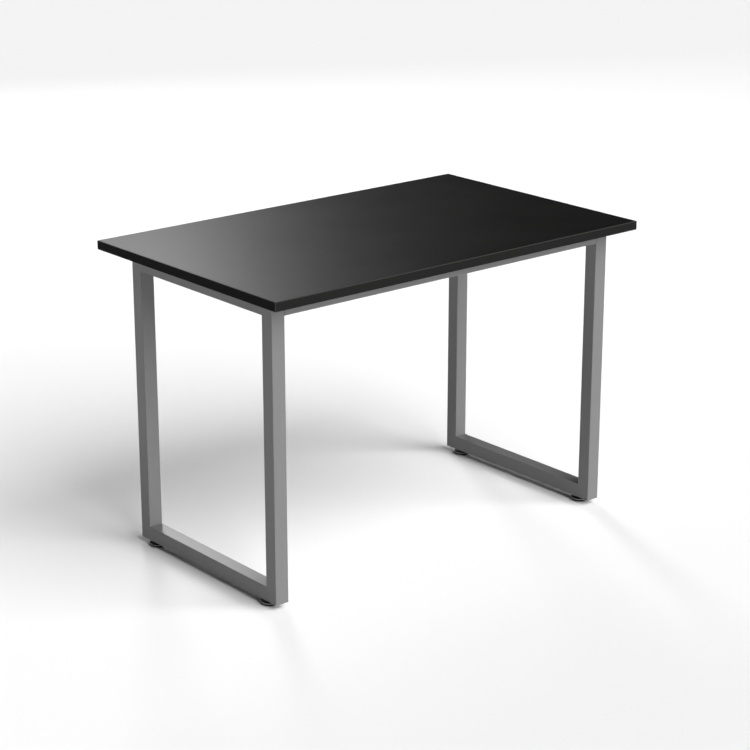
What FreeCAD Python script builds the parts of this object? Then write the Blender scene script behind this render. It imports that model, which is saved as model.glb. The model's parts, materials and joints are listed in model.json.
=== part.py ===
import FreeCAD
import Part
import Sketcher
import os

# A rectangular computer desk: a black laminated top on two closed end frames of
# square steel tube, joined by a front rail and a rear rail under the top.
# Four levelling feet screw into the bottom bars.
#
# Frame: X runs along the desk to the right, Y runs from the front edge to the
# rear edge, Z is up. The origin is on the floor under the middle of the top.

SIZES = {
    # worktop
    "desk_height": 750,
    "top_length": 1115,
    "top_depth": 690,
    "top_thickness": 22,
    "band_thickness": 2,
    "edge_radius": 1.8,
    "laminate_thickness": 0.8,
    # how far the worktop reaches past the frame
    "end_overhang": 38,
    "front_overhang": 64,
    "rear_overhang": 88,
    # square tube of the frame
    "tube_size": 36,
    "tube_wall": 1.5,
    "tube_corner": 1.5,
    "rail_gap": 0.6,
    # stubs inside the rails
    "spigot_length": 60,
    "spigot_wall": 2.5,
    "spigot_clearance": 0.3,
    "spigot_corner": 1,
    # all screws of the frame and the top
    "screw_diameter": 6,
    "screw_hole": 6.6,
    "head_diameter": 12,
    "head_height": 3.5,
    "socket_width": 4,
    "socket_depth": 2,
    "thread_clearance": 0.05,
    # screws that hold the worktop
    "insert_diameter": 10,
    "insert_length": 14,
    "insert_end_gap": 1,
    "worktop_grip": 12,
    "bar_screw_spacing": 320,
    "rail_screw_spacing": 560,
    # screws that hold the rails
    "rail_screw_length": 12,
    "rail_screw_inset": 18,
    "rail_screw_step": 26,
    "nut_width": 10,
    "nut_height": 5,
    # levelling feet
    "foot_gap": 14,
    "foot_inset": 45.5,
    "tread_diameter": 33,
    "tread_height": 4,
    "tread_edge": 1,
    "flange_diameter": 44.4,
    "flange_edge": 0.8,
    "pad_thickness": 6.6,
    "pocket_floor": 4.6,
    "plug_diameter": 22.6,
    "plug_bore": 14,
    "plug_height": 1.2,
    "plug_clearance": 0.1,
    "cap_diameter": 45,
    "cap_rim": 9.6,
    "cap_shoulder": 30,
    "cap_top": 10.4,
    "cap_edge": 0.7,
    "cavity_step": 8,
    "stem_diameter": 8,
    "stem_length": 30,
    "rivet_diameter": 12,
    "rivet_gap": 0.3,
    "rivet_height": 2,
    "hexagon_width": 13,
    "hexagon_gap": 0.3,
    "foot_insert_diameter": 11,
    "foot_insert_flange": 16,
    "foot_insert_flange_height": 0.8,
    "foot_insert_length": 18,
}

PARTS_FOLDER = "parts"

# Places and lengths that follow from the sizes, as sheet expressions.
TOP_UNDERSIDE = "(sizes.desk_height - sizes.top_thickness)"
HALF_TUBE = "(sizes.tube_size / 2)"
HALF_LENGTH = "(sizes.top_length / 2)"
HALF_DEPTH = "(sizes.top_depth / 2)"
FRAME_FRONT = "(-sizes.top_depth / 2 + sizes.front_overhang)"
FRAME_REAR = "(sizes.top_depth / 2 - sizes.rear_overhang)"
FRAME_DEPTH = f"({FRAME_REAR} - {FRAME_FRONT})"
FRAME_HEIGHT = f"({TOP_UNDERSIDE} - sizes.foot_gap)"
END_CENTRE = f"({HALF_LENGTH} - sizes.end_overhang - {HALF_TUBE})"
LEG_FACE = f"({END_CENTRE} - {HALF_TUBE})"
RAIL_HALF_LENGTH = f"({LEG_FACE} - sizes.rail_gap)"
RAIL_FRONT = f"({FRAME_FRONT} + {HALF_TUBE})"
RAIL_REAR = f"({FRAME_REAR} - {HALF_TUBE})"
RAIL_HEIGHT = f"({TOP_UNDERSIDE} - {HALF_TUBE})"
RAIL_UNDERSIDE = f"({TOP_UNDERSIDE} - sizes.tube_size)"
SPIGOT_SIZE = "(sizes.tube_size - 2 * sizes.tube_wall - 2 * sizes.spigot_clearance)"
FOOT_FRONT = f"({FRAME_FRONT} + sizes.foot_inset)"
FOOT_REAR = f"({FRAME_REAR} - sizes.foot_inset)"

SIDES = {"left": "-", "right": ""}
ENDS = {"front": (RAIL_FRONT, FOOT_FRONT), "rear": (RAIL_REAR, FOOT_REAR)}

# Turns a tube whose length is along its own Z, with its outer side towards its own -Y.
UPRIGHT_FRONT = FreeCAD.Rotation(FreeCAD.Vector(0, 0, 1), 0)
UPRIGHT_REAR = FreeCAD.Rotation(FreeCAD.Vector(0, 0, 1), 180)
LYING_ON_TOP = FreeCAD.Rotation(FreeCAD.Vector(1, 0, 0), -90)
LYING_BELOW = FreeCAD.Rotation(FreeCAD.Vector(1, 0, 0), 90)
LYING_ALONG = FreeCAD.Rotation(
    FreeCAD.Vector(0, -1, 0), FreeCAD.Vector(0, 0, -1), FreeCAD.Vector(1, 0, 0), "ZXY"
)

doc = FreeCAD.newDocument("computer_desk")
pieces = []


# ---- small helpers -------------------------------------------------------


def make_sheet():
    """Puts every driving size in the sheet, each under its own name."""
    sheet = doc.addObject("Spreadsheet::Sheet", "sizes")
    for row, (name, size) in enumerate(SIZES.items(), start=1):
        sheet.set(f"A{row}", name)
        sheet.set(f"B{row}", str(size))
        sheet.setAlias(f"B{row}", name)
    doc.recompute()
    return sheet


def measure(expression):
    """The present value of a sheet expression, in millimetres."""
    found = sizes_sheet.evalExpression(expression)
    return float(getattr(found, "Value", found))


def place(thing, x="0", y="0", z="0", rotation=None):
    """Puts an object where three sheet expressions say."""
    thing.Placement = FreeCAD.Placement(FreeCAD.Vector(), rotation or FreeCAD.Rotation())
    thing.setExpression("Placement.Base.x", x)
    thing.setExpression("Placement.Base.y", y)
    thing.setExpression("Placement.Base.z", z)


def keep(thing, label):
    """Names a finished sub-part and lists it for export."""
    thing.Label = label
    pieces.append(thing)
    return thing


def new_body(name):
    return doc.addObject("PartDesign::Body", f"{name}_body")


def new_sketch(body, role):
    """A sketch on one of the body's own origin planes."""
    plane = next(feature for feature in body.Origin.OriginFeatures if feature.Role == role)
    sketch = body.newObject("Sketcher::SketchObject", f"{body.Name}_sketch")
    sketch.AttachmentSupport = [(plane, "")]
    sketch.MapMode = "FlatFace"
    return sketch


def dimension(sketch, kind, where, expression):
    """Adds a dimension that follows the sheet."""
    index = sketch.addConstraint(Sketcher.Constraint(kind, *where, measure(expression)))
    sketch.setExpression(f"Constraints[{index}]", expression)


def outline(sketch, corners):
    """Draws a closed outline through corners given as pairs of sheet expressions."""
    points = [FreeCAD.Vector(measure(x), measure(y), 0) for x, y in corners]
    count = len(points)
    first = sketch.GeometryCount
    for number, point in enumerate(points):
        sketch.addGeometry(Part.LineSegment(point, points[(number + 1) % count]))
    for number in range(count):
        following = first + (number + 1) % count
        sketch.addConstraint(Sketcher.Constraint("Coincident", first + number, 2, following, 1))
    for number, (x, y) in enumerate(corners):
        dimension(sketch, "DistanceX", (-1, 1, first + number, 1), x)
        dimension(sketch, "DistanceY", (-1, 1, first + number, 1), y)


def rectangle(sketch, half_width, half_height):
    """Draws a rectangle centred on the sketch's origin."""
    left = f"-{half_width}"
    low = f"-{half_height}"
    outline(sketch, [(left, low), (half_width, low), (half_width, half_height), (left, half_height)])


def circle(sketch, x, y, diameter):
    """Draws a circle whose centre and diameter follow the sheet."""
    centre = FreeCAD.Vector(measure(x), measure(y), 0)
    up = FreeCAD.Vector(0, 0, 1)
    index = sketch.addGeometry(Part.Circle(centre, up, measure(diameter) / 2))
    dimension(sketch, "DistanceX", (-1, 1, index, 3), x)
    dimension(sketch, "DistanceY", (-1, 1, index, 3), y)
    dimension(sketch, "Diameter", (index,), diameter)


def pad(body, sketch, length):
    feature = body.newObject("PartDesign::Pad", f"{body.Name}_pad")
    feature.Profile = sketch
    feature.setExpression("Length", length)
    doc.recompute()
    return feature


def pocket(body, sketch, depth=None, both_ways=False, turned_round=False):
    """Cuts a sketch out of the body, right through where no depth is given."""
    uncut_volume = body.Tip.Shape.Volume
    feature = body.newObject("PartDesign::Pocket", f"{body.Name}_pocket")
    feature.Profile = sketch
    feature.Midplane = both_ways
    feature.Reversed = turned_round
    if depth is None:
        feature.Type = "ThroughAll"
    else:
        feature.setExpression("Length", depth)
    doc.recompute()
    if feature.Shape.Volume >= uncut_volume:
        raise RuntimeError(f"{feature.Name} cuts nothing")
    return feature


def revolve(body, corners):
    """Turns an outline in the XZ plane, given as (radius, height) pairs, about the body's Z axis."""
    sketch = new_sketch(body, "XZ_Plane")
    outline(sketch, corners)
    feature = body.newObject("PartDesign::Revolution", f"{body.Name}_turned")
    feature.Profile = sketch
    feature.ReferenceAxis = (sketch, ["V_Axis"])
    feature.Angle = 360
    doc.recompute()
    return feature


def fillet(body, feature, edge_names, radius):
    rounded = body.newObject("PartDesign::Fillet", f"{body.Name}_fillet")
    rounded.Base = (feature, edge_names)
    rounded.setExpression("Radius", radius)
    doc.recompute()
    return rounded


def edges_along_z(shape):
    """Names of the straight edges that are parallel to Z."""
    names = []
    for number, edge in enumerate(shape.Edges, start=1):
        direction = edge.tangentAt(edge.FirstParameter)
        if edge.Curve.TypeId == "Part::GeomLine" and abs(abs(direction.z) - 1) < 1e-6:
            names.append(f"Edge{number}")
    return names


def ring_edges(shape, radius, height):
    """Names of the circular edges with this radius at this height."""
    names = []
    for number, edge in enumerate(shape.Edges, start=1):
        if edge.Curve.TypeId != "Part::GeomCircle":
            continue
        same_radius = abs(edge.Curve.Radius - radius) < 1e-4
        if same_radius and abs(edge.Curve.Center.z - height) < 1e-4:
            names.append(f"Edge{number}")
    return names


def cylinder(name, diameter, height, z="0"):
    shape = doc.addObject("Part::Cylinder", name)
    shape.setExpression("Radius", f"{diameter} / 2")
    shape.setExpression("Height", height)
    place(shape, z=z)
    return shape


def hexagon(name, width, height, z="0"):
    """A hexagonal prism; width is measured across its flats."""
    shape = doc.addObject("Part::Prism", name)
    shape.Polygon = 6
    shape.setExpression("Circumradius", f"{width} / sqrt(3)")
    shape.setExpression("Height", height)
    place(shape, z=z)
    return shape


def cut(name, base, tool):
    shape = doc.addObject("Part::Cut", name)
    shape.Base = base
    shape.Tool = tool
    return shape


def fuse(name, *shapes):
    shape = doc.addObject("Part::MultiFuse", name)
    shape.Shapes = list(shapes)
    shape.Refine = True
    return shape


def group_of(original, label, places):
    """One sub-part made of equal separate pieces, a copy of the original at each place."""
    copies = []
    for number, (x, y, z) in enumerate(places, start=1):
        copy = doc.addObject("App::Link", f"{label}_{number}")
        copy.LinkedObject = original
        place(copy, x, y, z)
        copies.append(copy)
    compound = doc.addObject("Part::Compound", f"{label}_group")
    compound.Links = copies
    return keep(compound, label)


def worktop_screw_places():
    """Two screws through each top bar and two through each rail, as pairs of x and y."""
    bar_middle = f"({FRAME_FRONT} + {FRAME_DEPTH} / 2)"
    found = []
    for sign in SIDES.values():
        for step in "-+":
            found.append((f"{sign}{END_CENTRE}", f"{bar_middle} {step} sizes.bar_screw_spacing / 2"))
    for rail_y, _ in ENDS.values():
        for sign in SIDES.values():
            found.append((f"{sign}(sizes.rail_screw_spacing / 2)", rail_y))
    return found


def rail_screw_distances():
    """Where the two screws of one rail end are, measured from the end of the rail."""
    first = "sizes.rail_screw_inset"
    return [first, f"({first} + sizes.rail_screw_step)"]


# ---- worktop -------------------------------------------------------------


def make_slab(name, bottom, thickness, hole_depth=None):
    """A flat board between the edge bands, with holes from below for the inserts."""
    body = new_body(name)
    sketch = new_sketch(body, "XY_Plane")
    band = "sizes.band_thickness"
    rectangle(sketch, f"({HALF_LENGTH} - {band})", f"({HALF_DEPTH} - {band})")
    pad(body, sketch, thickness)
    if hole_depth:
        holes = new_sketch(body, "XY_Plane")
        for x, y in worktop_screw_places():
            circle(holes, x, y, "sizes.insert_diameter")
        pocket(body, holes, hole_depth, turned_round=True)
    place(body, z=bottom)
    return keep(body, name)


def make_boards():
    laminate = "sizes.laminate_thickness"
    core_bottom = f"({TOP_UNDERSIDE} + {laminate})"
    core_hole = f"(sizes.insert_length + sizes.insert_end_gap - {laminate})"
    make_slab("board_core", core_bottom, f"(sizes.top_thickness - 2 * {laminate})", core_hole)
    make_slab("top_laminate", f"(sizes.desk_height - {laminate})", laminate)
    make_slab("underside_laminate", TOP_UNDERSIDE, laminate, laminate)


def make_rounded_block():
    """The whole outside of the worktop, with all its edges rounded."""
    body = new_body("worktop_outside")
    sketch = new_sketch(body, "XY_Plane")
    rectangle(sketch, HALF_LENGTH, HALF_DEPTH)
    block = pad(body, sketch, "sizes.top_thickness")
    all_edges = [f"Edge{number}" for number in range(1, len(block.Shape.Edges) + 1)]
    fillet(body, block, all_edges, "sizes.edge_radius")
    place(body, z=TOP_UNDERSIDE)
    return body


def make_edge_band(name, outside, length, width, x, y):
    """A strip of the rounded outside: what lies within one long box."""
    region = doc.addObject("Part::Box", f"{name}_region")
    region.setExpression("Length", length)
    region.setExpression("Width", width)
    region.setExpression("Height", "sizes.top_thickness")
    place(region, x, y, TOP_UNDERSIDE)
    band = doc.addObject("Part::Common", f"{name}_strip")
    band.Base = outside
    band.Tool = region
    return keep(band, name)


def make_edge_bands():
    """Long bands over the whole front and rear, short bands between them at the ends."""
    outside = make_rounded_block()
    band = "sizes.band_thickness"
    long = "sizes.top_length"
    short = f"(sizes.top_depth - 2 * {band})"
    left = f"-{HALF_LENGTH}"
    right = f"({HALF_LENGTH} - {band})"
    front = f"-{HALF_DEPTH}"
    rear = f"({HALF_DEPTH} - {band})"
    make_edge_band("front_edge_band", outside, long, band, left, front)
    make_edge_band("rear_edge_band", outside, long, band, left, rear)
    make_edge_band("left_edge_band", outside, band, short, left, f"({front} + {band})")
    make_edge_band("right_edge_band", outside, band, short, right, f"({front} + {band})")


def make_board_inserts():
    """Threaded inserts pressed into the worktop from below."""
    outside = cylinder("insert_outside", "sizes.insert_diameter", "sizes.insert_length")
    bore_width = "(sizes.screw_diameter + 2 * sizes.thread_clearance)"
    bore = cylinder("insert_bore", bore_width, "sizes.insert_length")
    insert = cut("board_insert", outside, bore)
    group_of(insert, "board_inserts", [(x, y, TOP_UNDERSIDE) for x, y in worktop_screw_places()])


# ---- screws --------------------------------------------------------------


def make_screw(name, length):
    """A pan head screw that points up, with the underside of its head at its origin's height."""
    head_low = "-sizes.head_height"
    shank = cylinder(f"{name}_shank", "sizes.screw_diameter", length)
    head = cylinder(f"{name}_head", "sizes.head_diameter", "sizes.head_height", head_low)
    socket = hexagon(f"{name}_socket", "sizes.socket_width", "sizes.socket_depth", head_low)
    whole = fuse(f"{name}_whole", shank, head)
    return cut(name, whole, socket)


def make_worktop_screws():
    """Screws through both walls of the bars and rails, up into the inserts."""
    screw = make_screw("worktop_screw", "(sizes.tube_size + sizes.worktop_grip)")
    group_of(screw, "worktop_screws", [(x, y, RAIL_UNDERSIDE) for x, y in worktop_screw_places()])


def rail_screw_places():
    """The x and y of the screws that hold the rail ends."""
    found = []
    for rail_y, _ in ENDS.values():
        for sign in SIDES.values():
            for distance in rail_screw_distances():
                found.append((f"{sign}({RAIL_HALF_LENGTH} - {distance})", rail_y))
    return found


def make_rail_screws():
    screw = make_screw("rail_screw", "sizes.rail_screw_length")
    group_of(screw, "rail_screws", [(x, y, RAIL_UNDERSIDE) for x, y in rail_screw_places()])


def make_spigot_nuts():
    """Nuts that sit on the floor of each stub, over the rail screws."""
    outside = hexagon("nut_outside", "sizes.nut_width", "sizes.nut_height")
    bore_width = "(sizes.screw_diameter + 2 * sizes.thread_clearance)"
    nut = cut("spigot_nut", outside, cylinder("nut_bore", bore_width, "sizes.nut_height"))
    floor = f"({RAIL_UNDERSIDE} + sizes.tube_wall + sizes.spigot_clearance + sizes.spigot_wall)"
    group_of(nut, "spigot_nuts", [(x, y, floor) for x, y in rail_screw_places()])


# ---- frame ---------------------------------------------------------------


def tube_blank(name, size, wall, corner, length):
    """A square tube along its own Z, from 0 to its length, with rounded outer corners."""
    body = new_body(name)
    section = new_sketch(body, "XY_Plane")
    half = f"({size} / 2)"
    rectangle(section, half, half)
    solid = pad(body, section, length)
    fillet(body, solid, edges_along_z(solid.Shape), corner)
    inside = new_sketch(body, "XY_Plane")
    rectangle(inside, f"({half} - {wall})", f"({half} - {wall})")
    pocket(body, inside, turned_round=True)
    return body


def frame_tube(name, length):
    return tube_blank(name, "sizes.tube_size", "sizes.tube_wall", "sizes.tube_corner", length)


def mitre_both_ends(body, length):
    """Cuts both ends at 45 degrees, so that the side towards -Y stays at full length."""
    sketch = new_sketch(body, "YZ_Plane")
    outer = f"-{HALF_TUBE}"
    outline(sketch, [(outer, "0"), (HALF_TUBE, "0"), (HALF_TUBE, "sizes.tube_size")])
    upper_inner = f"({length} - sizes.tube_size)"
    outline(sketch, [(outer, length), (HALF_TUBE, length), (HALF_TUBE, upper_inner)])
    pocket(body, sketch, both_ways=True)


def drill_across(body, distances, both_walls=True, outer_wall=False, diameter="sizes.screw_hole"):
    """Round holes across the tube along its own Y, at distances from its lower end."""
    sketch = new_sketch(body, "XZ_Plane")
    for distance in distances:
        circle(sketch, "0", distance, diameter)
    pocket(body, sketch, both_ways=both_walls, turned_round=outer_wall)


def make_legs():
    for side, sign in SIDES.items():
        for end, (rail_y, _) in ENDS.items():
            name = f"{side}_{end}_leg"
            body = frame_tube(name, FRAME_HEIGHT)
            mitre_both_ends(body, FRAME_HEIGHT)
            turn = UPRIGHT_FRONT if end == "front" else UPRIGHT_REAR
            place(body, f"{sign}{END_CENTRE}", rail_y, "sizes.foot_gap", turn)
            keep(body, name)


def make_top_bars():
    for side, sign in SIDES.items():
        name = f"{side}_top_bar"
        body = frame_tube(name, FRAME_DEPTH)
        mitre_both_ends(body, FRAME_DEPTH)
        middle = f"{FRAME_DEPTH} / 2"
        half_spacing = "sizes.bar_screw_spacing / 2"
        drill_across(body, [f"{middle} - {half_spacing}", f"{middle} + {half_spacing}"])
        place(body, f"{sign}{END_CENTRE}", FRAME_FRONT, RAIL_HEIGHT, LYING_ON_TOP)
        keep(body, name)


def make_bottom_bars():
    for side, sign in SIDES.items():
        name = f"{side}_bottom_bar"
        body = frame_tube(name, FRAME_DEPTH)
        mitre_both_ends(body, FRAME_DEPTH)
        foot_places = ["sizes.foot_inset", f"({FRAME_DEPTH} - sizes.foot_inset)"]
        drill_across(body, foot_places, False, True, "sizes.foot_insert_diameter")
        height = f"(sizes.foot_gap + {HALF_TUBE})"
        place(body, f"{sign}{END_CENTRE}", FRAME_REAR, height, LYING_BELOW)
        keep(body, name)


def make_rails():
    length = f"(2 * {RAIL_HALF_LENGTH})"
    half_spacing = "sizes.rail_screw_spacing / 2"
    middle = RAIL_HALF_LENGTH
    for end, (rail_y, _) in ENDS.items():
        name = f"{end}_rail"
        body = frame_tube(name, length)
        drill_across(body, [f"{middle} - {half_spacing}", f"{middle} + {half_spacing}"])
        near_end = rail_screw_distances()
        far_end = [f"({length} - {distance})" for distance in near_end]
        drill_across(body, near_end + far_end, False)
        place(body, f"-{RAIL_HALF_LENGTH}", rail_y, RAIL_HEIGHT, LYING_ALONG)
        keep(body, name)


def make_spigots():
    """Stubs welded to the legs; each rail end slides over one."""
    length = "sizes.spigot_length"
    for side in SIDES:
        for end, (rail_y, _) in ENDS.items():
            name = f"{side}_{end}_spigot"
            body = tube_blank(name, SPIGOT_SIZE, "sizes.spigot_wall", "sizes.spigot_corner", length)
            from_leg = [f"(sizes.rail_gap + {distance})" for distance in rail_screw_distances()]
            if side == "right":
                from_leg = [f"({length} - {distance})" for distance in from_leg]
            drill_across(body, from_leg, False)
            start = f"-{LEG_FACE}" if side == "left" else f"({LEG_FACE} - {length})"
            place(body, start, rail_y, RAIL_HEIGHT, LYING_ALONG)
            keep(body, name)


# ---- levelling feet ------------------------------------------------------


def make_foot_insert(name):
    """A flanged insert in the lower wall of the bottom bar; its bore takes the stem."""
    bore = "(sizes.stem_diameter / 2 + sizes.thread_clearance)"
    outer = "(sizes.foot_insert_diameter / 2)"
    flange = "(sizes.foot_insert_flange / 2)"
    low = "(sizes.foot_gap - sizes.foot_insert_flange_height)"
    high = "(sizes.foot_gap + sizes.foot_insert_length)"
    body = new_body(name)
    revolve(
        body,
        [
            (bore, low),
            (flange, low),
            (flange, "sizes.foot_gap"),
            (outer, "sizes.foot_gap"),
            (outer, high),
            (bore, high),
        ],
    )
    return body


def make_foot_pad(name):
    """The plastic pad: a tread on the floor, a wide flange, and a ring that plugs into the cap."""
    tread = "(sizes.tread_diameter / 2)"
    flange = "(sizes.flange_diameter / 2)"
    plug = "(sizes.plug_diameter / 2)"
    bore = "(sizes.plug_bore / 2)"
    thickness = "sizes.pad_thickness"
    plug_top = "(sizes.pad_thickness + sizes.plug_height)"
    body = new_body(name)
    turned = revolve(
        body,
        [
            ("0", "0"),
            (tread, "0"),
            (tread, "sizes.tread_height"),
            (flange, "sizes.tread_height"),
            (flange, thickness),
            (plug, thickness),
            (plug, plug_top),
            (bore, plug_top),
            (bore, "sizes.pocket_floor"),
            ("0", "sizes.pocket_floor"),
        ],
    )
    floor_edge = ring_edges(turned.Shape, measure(tread), 0)
    rounded = fillet(body, turned, floor_edge, "sizes.tread_edge")
    flange_edge = ring_edges(rounded.Shape, measure(flange), measure("sizes.tread_height"))
    fillet(body, rounded, flange_edge, "sizes.flange_edge")
    return body


def make_foot_cap(name):
    """The chromed cap: a thick disc, hollow below for the pad's plug and the rivet."""
    low = "sizes.pad_thickness"
    recess = "(sizes.plug_diameter / 2 + sizes.plug_clearance)"
    recess_top = "(sizes.pad_thickness + sizes.plug_height + sizes.plug_clearance)"
    cavity = "(sizes.rivet_diameter / 2 + sizes.rivet_gap)"
    bore = "(sizes.stem_diameter / 2 + sizes.thread_clearance)"
    rim = "(sizes.cap_diameter / 2)"
    shoulder = "(sizes.cap_shoulder / 2)"
    body = new_body(name)
    turned = revolve(
        body,
        [
            (recess, low),
            (rim, low),
            (rim, "sizes.cap_rim"),
            (shoulder, "sizes.cap_top"),
            (bore, "sizes.cap_top"),
            (bore, "sizes.cavity_step"),
            (cavity, "sizes.cavity_step"),
            (cavity, recess_top),
            (recess, recess_top),
        ],
    )
    rim_edge = ring_edges(turned.Shape, measure(rim), measure("sizes.cap_rim"))
    fillet(body, turned, rim_edge, "sizes.cap_edge")
    return body


def make_foot_stem(name):
    """The stem: a rivet head inside the cap, a hexagon for a spanner, and the threaded length."""
    rivet_low = "(sizes.cavity_step - sizes.rivet_gap - sizes.rivet_height)"
    hexagon_low = "(sizes.cap_top + sizes.hexagon_gap)"
    hexagon_high = "(sizes.foot_gap - sizes.foot_insert_flange_height - sizes.hexagon_gap)"
    stem_high = "(sizes.foot_gap + sizes.stem_length)"
    rivet = cylinder(f"{name}_rivet", "sizes.rivet_diameter", "sizes.rivet_height", rivet_low)
    rod = cylinder(f"{name}_rod", "sizes.stem_diameter", f"({stem_high} - {rivet_low})", rivet_low)
    nut_height = f"({hexagon_high} - {hexagon_low})"
    nut = hexagon(f"{name}_nut", "sizes.hexagon_width", nut_height, hexagon_low)
    return fuse(f"{name}_whole", rivet, rod, nut)


def make_feet():
    makers = {
        "insert": make_foot_insert,
        "stem": make_foot_stem,
        "cap": make_foot_cap,
        "pad": make_foot_pad,
    }
    for end, (_, foot_y) in ENDS.items():
        for side, sign in SIDES.items():
            for part, maker in makers.items():
                name = f"{end}_{side}_foot_{part}"
                piece = maker(name)
                place(piece, f"{sign}{END_CENTRE}", foot_y)
                keep(piece, name)


# ---- checking and writing ------------------------------------------------


def check_document():
    """Stops if any object failed or any sub-part is not a sound solid."""
    doc.recompute()
    for thing in doc.Objects:
        if "Invalid" in thing.State or "Error" in thing.State:
            raise RuntimeError(f"{thing.Label} failed: {thing.State}")
    for piece in pieces:
        shape = piece.Shape
        if shape.isNull() or not shape.isValid() or not shape.Solids:
            raise RuntimeError(f"{piece.Label} is not a valid solid")


def write_parts():
    os.makedirs(PARTS_FOLDER, exist_ok=True)
    for piece in pieces:
        piece.Shape.exportStep(f"{PARTS_FOLDER}/{piece.Label}.step")
        print(f"{piece.Label}: {len(piece.Shape.Solids)} solid(s), {piece.Shape.Volume:.1f} mm3")


sizes_sheet = make_sheet()
make_boards()
make_edge_bands()
make_board_inserts()
make_worktop_screws()
make_rail_screws()
make_spigot_nuts()
make_legs()
make_top_bars()
make_bottom_bars()
make_rails()
make_spigots()
make_feet()
check_document()
write_parts()
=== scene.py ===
import json
import math

import bmesh
import bpy
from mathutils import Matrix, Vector


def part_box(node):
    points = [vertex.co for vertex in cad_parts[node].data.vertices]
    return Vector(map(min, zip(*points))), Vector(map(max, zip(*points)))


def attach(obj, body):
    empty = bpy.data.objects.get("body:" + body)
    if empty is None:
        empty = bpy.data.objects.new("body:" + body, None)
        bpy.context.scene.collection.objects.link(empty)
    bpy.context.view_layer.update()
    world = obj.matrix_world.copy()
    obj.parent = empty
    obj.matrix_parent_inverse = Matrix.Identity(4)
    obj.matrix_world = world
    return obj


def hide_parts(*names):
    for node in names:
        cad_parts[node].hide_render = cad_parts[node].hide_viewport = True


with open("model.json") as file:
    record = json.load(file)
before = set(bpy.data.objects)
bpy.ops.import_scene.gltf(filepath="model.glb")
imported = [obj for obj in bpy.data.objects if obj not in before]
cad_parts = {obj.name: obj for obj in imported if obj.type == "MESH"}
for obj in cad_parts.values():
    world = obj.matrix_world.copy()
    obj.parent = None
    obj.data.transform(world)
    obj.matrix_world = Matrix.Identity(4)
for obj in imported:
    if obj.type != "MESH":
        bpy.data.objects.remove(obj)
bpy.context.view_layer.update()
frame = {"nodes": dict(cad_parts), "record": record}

MM = 0.001
CORNERS = ("front_left", "front_right", "rear_left", "rear_right")
BAR_SCREW_SPACING = 0.320
RAIL_SCREW_SPACING = 0.560
RAIL_SCREW_INSETS = (0.018, 0.044)
# colours of the edge-band arrises: painted shade on the downward ones, painted highlight on the upper
# and upright ones
LOWER_ARRIS_PAINTED_SHADE = (0.004, 0.004, 0.004)
UPPER_ARRIS_PAINTED_HIGHLIGHT = (0.036, 0.036, 0.035)
SHARP_EDGE = math.radians(32)

# levelling feet, as in the CAD part
TREAD_RADIUS = 16.5 * MM
TREAD_HEIGHT = 4 * MM
TREAD_EDGE = 1 * MM
FLANGE_EDGE = 0.8 * MM
PAD_THICKNESS = 6.6 * MM
POCKET_FLOOR = 4.6 * MM
POCKET_RADIUS = 7 * MM
PLUG_RADIUS = 11.3 * MM
PLUG_RECESS_RADIUS = 11.4 * MM
GROOVE_HEIGHTS = (5.2 * MM, 5.7 * MM, 6.2 * MM)
GROOVE_HALF_WIDTH = 0.1 * MM
GROOVE_DEPTH = 0.12 * MM
RIM_LOWER_EDGE = 0.4 * MM
RIM_UPPER_EDGE = 1.2 * MM
CAP_CROWN = 0.8 * MM
CAP_HOLE_RADIUS = 4.05 * MM
CAVITY_RADIUS = 6.3 * MM
STEM_RADIUS = 4 * MM
NECK_RADIUS = 3.9 * MM
RIVET_RADIUS = 6 * MM
RIVET_HEIGHT = 2 * MM
HEXAGON_LOW = 10.7 * MM
HEXAGON_HIGH = 12.9 * MM
HEXAGON_WIDTH = 13 * MM
HEXAGON_FACE_RADIUS = 6.3 * MM
THREAD_PITCH = 1.25 * MM
THREAD_DEPTH = 0.55 * MM
THREAD_CHAMFER = 0.8 * MM

# screws of the frame and the worktop
SCREW_HEAD_HEIGHT = 3.5 * MM
SCREW_HEAD_RADIUS = 6 * MM
SCREW_RADIUS = 2.9 * MM
SOCKET_WIDTH = 4 * MM
SOCKET_DEPTH = 2 * MM


# ---- small helpers -------------------------------------------------------


def new_material(name):
    """An empty node material with a Principled shader; returns it, its tree and the shader."""
    material = bpy.data.materials.new(name)
    material.use_nodes = True
    tree = material.node_tree
    shader = tree.nodes["Principled BSDF"]
    return material, tree, shader


def object_coordinates(tree, scale):
    """Coordinates fixed to the object, in metres, times a scale."""
    source = tree.nodes.new("ShaderNodeTexCoord")
    mapping = tree.nodes.new("ShaderNodeMapping")
    mapping.inputs["Scale"].default_value = scale
    tree.links.new(source.outputs["Object"], mapping.inputs["Vector"])
    return mapping.outputs["Vector"]


def noise(tree, vector, scale, detail=2.0, roughness=0.5):
    node = tree.nodes.new("ShaderNodeTexNoise")
    node.inputs["Scale"].default_value = scale
    node.inputs["Detail"].default_value = detail
    node.inputs["Roughness"].default_value = roughness
    tree.links.new(vector, node.inputs["Vector"])
    return node.outputs["Fac"]


def remap(tree, value, low, high):
    """Maps a 0 to 1 pattern to the range from low to high."""
    node = tree.nodes.new("ShaderNodeMapRange")
    node.inputs["To Min"].default_value = low
    node.inputs["To Max"].default_value = high
    tree.links.new(value, node.inputs["Value"])
    return node.outputs["Result"]


def two_tone(tree, value, dark, light, low=0.3, high=0.7):
    """A colour ramp between two colours."""
    node = tree.nodes.new("ShaderNodeValToRGB")
    node.color_ramp.elements[0].position = low
    node.color_ramp.elements[0].color = (*dark, 1)
    node.color_ramp.elements[1].position = high
    node.color_ramp.elements[1].color = (*light, 1)
    tree.links.new(value, node.inputs["Fac"])
    return node.outputs["Color"]


def colour_by(tree, shader, value, dark, light):
    """Base colour between two tones of a pattern."""
    tree.links.new(two_tone(tree, value, dark, light), shader.inputs["Base Color"])


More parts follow.
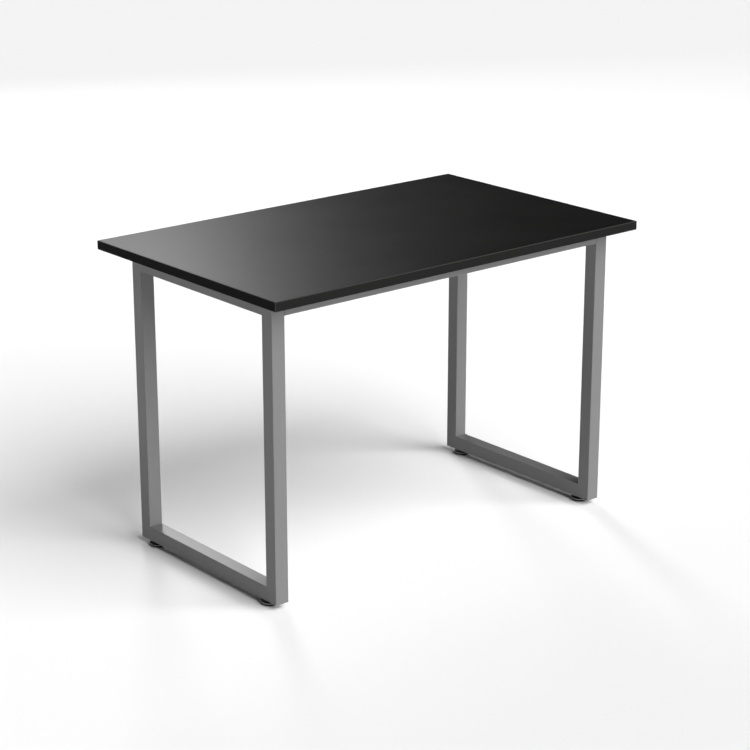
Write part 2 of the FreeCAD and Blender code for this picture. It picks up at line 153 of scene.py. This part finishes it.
def bump(tree, shader, value, depth):
    node = tree.nodes.new("ShaderNodeBump")
    node.inputs["Distance"].default_value = depth
    node.inputs["Strength"].default_value = 1.0
    tree.links.new(value, node.inputs["Height"])
    tree.links.new(node.outputs["Normal"], shader.inputs["Normal"])


# ---- materials -----------------------------------------------------------


def black_laminate():
    material, tree, shader = new_material("black_laminate")
    place = object_coordinates(tree, (1, 1, 1))
    grain = noise(tree, place, 1400, 3)
    cloud = noise(tree, place, 7, 3)
    shader.inputs["Specular IOR Level"].default_value = 0.1
    colour_by(tree, shader, cloud, (0.0032, 0.0031, 0.0029), (0.0050, 0.0048, 0.0045))
    tree.links.new(remap(tree, cloud, 0.35, 0.39), shader.inputs["Roughness"])
    bump(tree, shader, grain, 0.00004)
    return material


def largest_of(tree, first, second):
    node = tree.nodes.new("ShaderNodeMath")
    node.operation = "MAXIMUM"
    tree.links.new(first, node.inputs[0])
    tree.links.new(second, node.inputs[1])
    return node.outputs[0]


def split(tree, vector):
    """The X, Y and Z outputs of a vector."""
    node = tree.nodes.new("ShaderNodeSeparateXYZ")
    tree.links.new(vector, node.inputs["Vector"])
    return node.outputs["X"], node.outputs["Y"], node.outputs["Z"]


def rounded_arris(tree, normal):
    """1 where the surface is rounded between two faces, 0 on the flat faces along the axes."""
    size = tree.nodes.new("ShaderNodeVectorMath")
    size.operation = "ABSOLUTE"
    tree.links.new(normal, size.inputs[0])
    x, y, z = split(tree, size.outputs["Vector"])
    rounded = tree.nodes.new("ShaderNodeMapRange")
    rounded.inputs["From Min"].default_value = 0.99
    rounded.inputs["From Max"].default_value = 0.93
    tree.links.new(largest_of(tree, largest_of(tree, x, y), z), rounded.inputs["Value"])
    return rounded.outputs["Result"]


def painted_arris_light(tree, normal):
    """Painted shade where the surface looks down, painted highlight where it is upright or looks up."""
    tilt = tree.nodes.new("ShaderNodeMapRange")
    tilt.inputs["From Min"].default_value = -1
    tree.links.new(split(tree, normal)[2], tilt.inputs["Value"])
    return two_tone(tree, tilt.outputs["Result"], LOWER_ARRIS_PAINTED_SHADE, UPPER_ARRIS_PAINTED_HIGHLIGHT, 0.35, 0.50)


def blend_colours(tree, factor, first, second):
    node = tree.nodes.new("ShaderNodeMix")
    node.data_type = "RGBA"
    tree.links.new(factor, node.inputs["Factor"])
    tree.links.new(first, node.inputs["A"])
    tree.links.new(second, node.inputs["B"])
    return node.outputs["Result"]


def black_edging():
    """Plain edge bands whose rounded arrises carry a painted highlight where they look up or stand
    upright and painted shade where they look down.
    """
    material, tree, shader = new_material("black_edging")
    place = object_coordinates(tree, (1, 1, 1))
    normal = tree.nodes.new("ShaderNodeTexCoord").outputs["Normal"]
    grain = noise(tree, place, 900, 3)
    face = two_tone(tree, grain, (0.0100, 0.0099, 0.0097), (0.0132, 0.0130, 0.0127))
    # painted highlight and painted shade on the rounded arrises, set by which way each one faces
    colour = blend_colours(tree, rounded_arris(tree, normal), face, painted_arris_light(tree, normal))
    shader.inputs["Specular IOR Level"].default_value = 0.01
    tree.links.new(colour, shader.inputs["Base Color"])
    tree.links.new(remap(tree, grain, 0.40, 0.50), shader.inputs["Roughness"])
    bump(tree, shader, grain, 0.00005)
    return material


def black_backing():
    material, tree, shader = new_material("black_backing")
    place = object_coordinates(tree, (1, 1, 1))
    fibre = noise(tree, place, 350, 5, 0.7)
    colour_by(tree, shader, fibre, (0.012, 0.012, 0.012), (0.020, 0.020, 0.019))
    tree.links.new(remap(tree, fibre, 0.55, 0.75), shader.inputs["Roughness"])
    bump(tree, shader, fibre, 0.0001)
    return material


def chipboard():
    material, tree, shader = new_material("chipboard")
    place = object_coordinates(tree, (1, 1, 2.5))
    chips = noise(tree, place, 260, 6, 0.8)
    colour_by(tree, shader, chips, (0.16, 0.09, 0.04), (0.42, 0.29, 0.16))
    shader.inputs["Roughness"].default_value = 0.85
    bump(tree, shader, chips, 0.0004)
    return material


def silver_paint():
    material, tree, shader = new_material("silver_paint")
    place = object_coordinates(tree, (1, 1, 1))
    flake = noise(tree, place, 2600, 2)
    peel = noise(tree, place, 240, 2)
    shader.inputs["Metallic"].default_value = 0.0
    shader.inputs["Specular IOR Level"].default_value = 0.5
    colour_by(tree, shader, flake, (0.113, 0.113, 0.114), (0.138, 0.138, 0.139))
    tree.links.new(remap(tree, peel, 0.30, 0.36), shader.inputs["Roughness"])
    bump(tree, shader, peel, 0.00002)
    return material


def zinc_steel():
    material, tree, shader = new_material("zinc_steel")
    place = object_coordinates(tree, (1, 1, 1))
    mottle = noise(tree, place, 500, 4)
    shader.inputs["Metallic"].default_value = 1.0
    colour_by(tree, shader, mottle, (0.42, 0.42, 0.40), (0.60, 0.60, 0.58))
    tree.links.new(remap(tree, mottle, 0.25, 0.42), shader.inputs["Roughness"])
    bump(tree, shader, mottle, 0.00003)
    return material


def foot_chrome():
    material, tree, shader = new_material("foot_chrome")
    place = object_coordinates(tree, (1, 1, 1))
    smear = noise(tree, place, 180, 3)
    shader.inputs["Metallic"].default_value = 1.0
    colour_by(tree, shader, smear, (0.19, 0.19, 0.195), (0.25, 0.25, 0.255))
    tree.links.new(remap(tree, smear, 0.08, 0.16), shader.inputs["Roughness"])
    bump(tree, shader, smear, 0.00001)
    return material


def foot_plastic():
    material, tree, shader = new_material("foot_plastic")
    place = object_coordinates(tree, (1, 1, 1))
    grain = noise(tree, place, 1200, 3)
    shader.inputs["Specular IOR Level"].default_value = 0.1
    colour_by(tree, shader, grain, (0.002, 0.002, 0.002), (0.004, 0.004, 0.004))
    tree.links.new(remap(tree, grain, 0.45, 0.6), shader.inputs["Roughness"])
    bump(tree, shader, grain, 0.00005)
    return material


def dress_nodes():
    """Gives every CAD node the material of its slot in the record."""
    makers = {
        "black_laminate": black_laminate,
        "black_edging": black_edging,
        "black_backing": black_backing,
        "chipboard": chipboard,
        "silver_paint": silver_paint,
        "zinc_steel": zinc_steel,
        "foot_chrome": foot_chrome,
        "foot_plastic": foot_plastic,
    }
    made = {slot: maker() for slot, maker in makers.items()}
    for entry in frame["record"]["subparts"]:
        for slot in frame["nodes"][entry["node"]].material_slots:
            slot.material = made[entry["material_slot"]]
    return made


# ---- detail pieces -------------------------------------------------------


def hexagon_radius(width, angle):
    """Distance from the centre to the side of a hexagon, measured across its flats."""
    turned = (angle + math.pi / 6) % (math.pi / 3) - math.pi / 6
    return width / 2 / math.cos(turned)


def ring_points(radius, height, flats, centre, segments):
    """One ring of a turned shape; flats is the width of a hexagon that trims the ring, or None."""
    points = []
    for step in range(segments):
        angle = 2 * math.pi * step / segments
        reach = radius
        if flats:
            reach = min(radius, hexagon_radius(flats, angle))
        points.append((centre[0] + reach * math.cos(angle), centre[1] + reach * math.sin(angle), height))
    return points


def add_turned(mesh, profile, centre, segments=72, ring_shaped=False):
    """Adds a turned solid: profile rows are (radius, height) or (radius, height, flats)."""
    rings = []
    for radius, height, *flats in profile:
        if radius == 0:
            rings.append([mesh.verts.new((centre[0], centre[1], height))])
        else:
            trim = flats[0] if flats else None
            ring = ring_points(radius, height, trim, centre, segments)
            rings.append([mesh.verts.new(point) for point in ring])
    pairs = list(zip(rings, rings[1:]))
    if ring_shaped:
        pairs.append((rings[-1], rings[0]))
    for low, high in pairs:
        for step in range(segments):
            after = (step + 1) % segments
            if len(low) == 1:
                mesh.faces.new((low[0], high[after], high[step]))
            elif len(high) == 1:
                mesh.faces.new((low[step], low[after], high[0]))
            else:
                mesh.faces.new((low[step], low[after], high[after], high[step]))


def finish_piece(mesh, name, material, body, slot_name, *nodes):
    """Makes the object, smooth except over sharp edges, and ties it to the frame."""
    bmesh.ops.recalc_face_normals(mesh, faces=mesh.faces)
    for face in mesh.faces:
        face.smooth = True
    for edge in mesh.edges:
        edge.smooth = edge.calc_face_angle(0) < SHARP_EDGE
    data = bpy.data.meshes.new(name)
    mesh.to_mesh(data)
    mesh.free()
    piece = bpy.data.objects.new(name, data)
    bpy.context.scene.collection.objects.link(piece)
    data.materials.append(material)
    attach(piece, body)
    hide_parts(*nodes)


def round_corner(corner, radius, from_angle, to_angle, steps=5):
    """Points of a rounded profile corner; corner is the centre of the round."""
    points = []
    for step in range(steps + 1):
        angle = math.radians(from_angle + (to_angle - from_angle) * step / steps)
        points.append((corner[0] + radius * math.cos(angle), corner[1] + radius * math.sin(angle)))
    return points


def box_centre(node):
    low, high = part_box(node)
    return ((low[0] + high[0]) / 2, (low[1] + high[1]) / 2)


def make_cap(corner, material):
    """The chromed cap: crowned top, rolled rim, open below for the plug and the rivet."""
    node = f"{corner}_foot_cap"
    low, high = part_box(node)
    radius = (high[0] - low[0]) / 2
    bottom, top = low[2], high[2]
    rim = top - CAP_CROWN
    recess_top = bottom + 1.3 * MM
    cavity_top = bottom + 1.4 * MM
    lower_edge = (radius - RIM_LOWER_EDGE, bottom + RIM_LOWER_EDGE)
    upper_edge = (radius - RIM_UPPER_EDGE, rim - RIM_UPPER_EDGE)
    profile = [(PLUG_RECESS_RADIUS, bottom), (radius - RIM_LOWER_EDGE, bottom)]
    profile += round_corner(lower_edge, RIM_LOWER_EDGE, -70, 0, 4)
    profile += round_corner(upper_edge, RIM_UPPER_EDGE, 0, 80, 7)
    profile += [(18 * MM, rim + 0.25 * MM), (14 * MM, rim + 0.6 * MM), (10 * MM, rim + 0.77 * MM)]
    profile += [(7.2 * MM, top), (CAP_HOLE_RADIUS, top)]
    profile += [(CAP_HOLE_RADIUS, cavity_top), (CAVITY_RADIUS, cavity_top)]
    profile += [(CAVITY_RADIUS, recess_top), (PLUG_RECESS_RADIUS, recess_top)]
    mesh = bmesh.new()
    add_turned(mesh, profile, box_centre(node), 96, ring_shaped=True)
    finish_piece(mesh, f"{corner}_cap_shell", material, f"{corner}_foot", "foot_chrome", node)


def make_pad(corner, material):
    """The moulded pad: rounded tread, three fine grooves round the flange, and the plug ring."""
    node = f"{corner}_foot_pad"
    low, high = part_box(node)
    flange = (high[0] - low[0]) / 2
    tread_edge = (TREAD_RADIUS - TREAD_EDGE, TREAD_EDGE)
    flange_edge = (flange - FLANGE_EDGE, TREAD_HEIGHT + FLANGE_EDGE)
    profile = [(0, 0), (TREAD_RADIUS - TREAD_EDGE, 0)]
    profile += round_corner(tread_edge, TREAD_EDGE, -70, 0, 4)
    profile += [(TREAD_RADIUS, TREAD_HEIGHT)]
    profile += round_corner(flange_edge, FLANGE_EDGE, -90, 0, 5)
    for groove in GROOVE_HEIGHTS:
        profile += [(flange, groove - GROOVE_HALF_WIDTH)]
        profile += [(flange - GROOVE_DEPTH, groove)]
        profile += [(flange, groove + GROOVE_HALF_WIDTH)]
    profile += [(flange, PAD_THICKNESS), (PLUG_RADIUS, PAD_THICKNESS), (PLUG_RADIUS, high[2])]
    profile += [(POCKET_RADIUS, high[2]), (POCKET_RADIUS, POCKET_FLOOR), (0, POCKET_FLOOR)]
    mesh = bmesh.new()
    add_turned(mesh, profile, box_centre(node), 96)
    finish_piece(mesh, f"{corner}_pad_moulding", material, f"{corner}_foot", "foot_plastic", node)


def thread_ring(centre, height, chamfer, segments):
    """One ring of a thread, whose crest turns with the height; the chamfer cuts its ends."""
    points = []
    for step in range(segments):
        angle = 2 * math.pi * step / segments
        phase = (height / THREAD_PITCH - step / segments) % 1.0
        flank = abs(2 * phase - 1)
        reach = min(STEM_RADIUS - THREAD_DEPTH * flank, STEM_RADIUS - chamfer)
        points.append((centre[0] + reach * math.cos(angle), centre[1] + reach * math.sin(angle), height))
    return points


def add_thread(mesh, centre, low, high, segments=48, rows_per_turn=8):
    """Adds a threaded rod with closed ends between the two heights."""
    rings = []
    count = round((high - low) / THREAD_PITCH * rows_per_turn)
    for row in range(count + 1):
        height = low + (high - low) * row / count
        to_end = min(height - low, high - height)
        chamfer = max(0.0, THREAD_CHAMFER - to_end)
        ring = thread_ring(centre, height, chamfer, segments)
        rings.append([mesh.verts.new(point) for point in ring])
    for lower, upper in zip(rings, rings[1:]):
        for step in range(segments):
            after = (step + 1) % segments
            mesh.faces.new((lower[step], lower[after], upper[after], upper[step]))
    mesh.faces.new(list(reversed(rings[0])))
    mesh.faces.new(rings[-1])


def make_stem(corner, material):
    """The stem: rivet head, plain neck, chamfered hexagon and M8 thread."""
    node = f"{corner}_foot_stem"
    low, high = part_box(node)
    bottom = low[2]
    rivet_top = bottom + RIVET_HEIGHT
    point = HEXAGON_WIDTH / math.sqrt(3)
    chamfer = 0.45 * MM
    profile = [(0, bottom), (5.6 * MM, bottom), (RIVET_RADIUS, bottom + 0.4 * MM)]
    profile += [(RIVET_RADIUS, rivet_top), (NECK_RADIUS, rivet_top)]
    profile += [(NECK_RADIUS, HEXAGON_LOW), (HEXAGON_FACE_RADIUS, HEXAGON_LOW)]
    profile += [(point, HEXAGON_LOW + chamfer, HEXAGON_WIDTH)]
    profile += [(point, HEXAGON_HIGH - chamfer, HEXAGON_WIDTH)]
    profile += [(HEXAGON_FACE_RADIUS, HEXAGON_HIGH), (0, HEXAGON_HIGH)]
    mesh = bmesh.new()
    centre = box_centre(node)
    add_turned(mesh, profile, centre, 72)
    add_thread(mesh, centre, HEXAGON_HIGH, high[2])
    finish_piece(mesh, f"{corner}_stem_thread", material, f"{corner}_stem", "zinc_steel", node)


def add_screw(mesh, centre, low, tip):
    """A button-head screw that points up, with a hexagonal socket in its head."""
    high = low + SCREW_HEAD_HEIGHT
    point = SOCKET_WIDTH / math.sqrt(3)
    profile = [(0, low + 1.9 * MM), (point, low + SOCKET_DEPTH, SOCKET_WIDTH)]
    profile += [(point, low, SOCKET_WIDTH), (3.2 * MM, low)]
    profile += [(4.4 * MM, low + 0.5 * MM), (5.3 * MM, low + 1.3 * MM), (5.9 * MM, low + 2.4 * MM)]
    profile += [(SCREW_HEAD_RADIUS, high - 0.3 * MM), (SCREW_HEAD_RADIUS, high)]
    profile += [(SCREW_RADIUS, high), (SCREW_RADIUS, tip - 0.6 * MM), (2.3 * MM, tip), (0, tip)]
    add_turned(mesh, profile, centre, 48)


def worktop_screw_centres():
    """Two screws through each top bar and two through each rail."""
    centres = []
    for side in ("left", "right"):
        x, y = box_centre(f"{side}_top_bar")
        centres += [(x, y - BAR_SCREW_SPACING / 2), (x, y + BAR_SCREW_SPACING / 2)]
    for end in ("front", "rear"):
        x, y = box_centre(f"{end}_rail")
        centres += [(x - RAIL_SCREW_SPACING / 2, y), (x + RAIL_SCREW_SPACING / 2, y)]
    return centres


def rail_screw_centres():
    """Two screws near each end of each rail."""
    centres = []
    for end in ("front", "rear"):
        low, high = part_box(f"{end}_rail")
        y = box_centre(f"{end}_rail")[1]
        for distance in RAIL_SCREW_INSETS:
            centres += [(low[0] + distance, y), (high[0] - distance, y)]
    return centres


def make_screws(node, centres, material):
    low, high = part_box(node)
    mesh = bmesh.new()
    for centre in centres:
        add_screw(mesh, centre, low[2], high[2])
    finish_piece(mesh, f"{node}_button_heads", material, "desk", "zinc_steel", node)


def make_details(materials):
    for corner in CORNERS:
        make_cap(corner, materials["foot_chrome"])
        make_pad(corner, materials["foot_plastic"])
        make_stem(corner, materials["zinc_steel"])
    make_screws("worktop_screws", worktop_screw_centres(), materials["zinc_steel"])
    make_screws("rail_screws", rail_screw_centres(), materials["zinc_steel"])


# ---- stage ---------------------------------------------------------------


def make_floor():
    bpy.ops.mesh.primitive_plane_add(size=60, location=(0, 0, 0))
    floor = bpy.context.object
    floor.name = "floor"
    material, tree, shader = new_material("pale_floor")
    shader.inputs["Base Color"].default_value = (0.80, 0.80, 0.80, 1)
    shader.inputs["Roughness"].default_value = 0.9
    shader.inputs["Specular IOR Level"].default_value = 0.0
    floor.data.materials.append(material)


def area_light(name, place, aim, width, height, power):
    """A soft rectangular light that faces the aim point."""
    light = bpy.data.lights.new(name, "AREA")
    light.shape = "RECTANGLE"
    light.size = width
    light.size_y = height
    light.energy = power
    holder = bpy.data.objects.new(name, light)
    bpy.context.scene.collection.objects.link(holder)
    holder.location = place
    holder.rotation_euler = (Vector(aim) - Vector(place)).to_track_quat("-Z", "Y").to_euler()


def sun_light(name, azimuth, elevation, spread, strength):
    """A broad distant light; azimuth is measured from +X towards +Y, all angles in degrees."""
    light = bpy.data.lights.new(name, "SUN")
    light.angle = math.radians(spread)
    light.energy = strength
    holder = bpy.data.objects.new(name, light)
    bpy.context.scene.collection.objects.link(holder)
    around = math.radians(azimuth)
    up = math.radians(elevation)
    towards = Vector((math.cos(around) * math.cos(up), math.sin(around) * math.cos(up), math.sin(up)))
    holder.rotation_euler = (-towards).to_track_quat("-Z", "Y").to_euler()


def standing_panel(name, azimuth, distance, low, high, width, power):
    """An upright soft panel that faces the middle of the desk."""
    around = math.radians(azimuth)
    middle = (low + high) / 2
    place = (distance * math.cos(around), distance * math.sin(around), middle)
    area_light(name, place, (0, 0, middle), width, high - low, power)


def make_lights():
    sun_light("key", -76, 38, 62, 5.2)
    sun_light("low_front", -88, 14, 30, 0.7)
    sun_light("rear_fill", 100, 40, 50, 0.2)
    standing_panel("back_left", 63, 6.5, 3.5, 5.5, 1.1, 175)
    standing_panel("back_low", 73, 6.5, 1.2, 2.4, 1.4, 6)
    world = bpy.data.worlds.new("studio")
    bpy.context.scene.world = world
    world.use_nodes = True
    background = world.node_tree.nodes["Background"]
    background.inputs["Color"].default_value = (1, 1, 1, 1)
    background.inputs["Strength"].default_value = 0.015


def make_camera():
    """A 100 mm lens in front of the left end of the desk, a little under 2 m above the floor."""
    camera = bpy.data.cameras.new("camera")
    camera.lens = 100.1
    camera.sensor_width = 36
    camera.clip_end = 200
    holder = bpy.data.objects.new("camera", camera)
    bpy.context.scene.collection.objects.link(holder)
    holder.location = (-3.1316, -3.7307, 1.9820)
    direction = Vector((0.61202, 0.72684, -0.31167))
    holder.rotation_euler = direction.to_track_quat("-Z", "Y").to_euler()
    bpy.context.scene.camera = holder


def main():
    make_camera()
    materials = dress_nodes()
    make_details(materials)
    make_floor()
    make_lights()
    bpy.context.scene.view_settings.view_transform = "Standard"
    bpy.context.scene.view_settings.look = "None"


main()
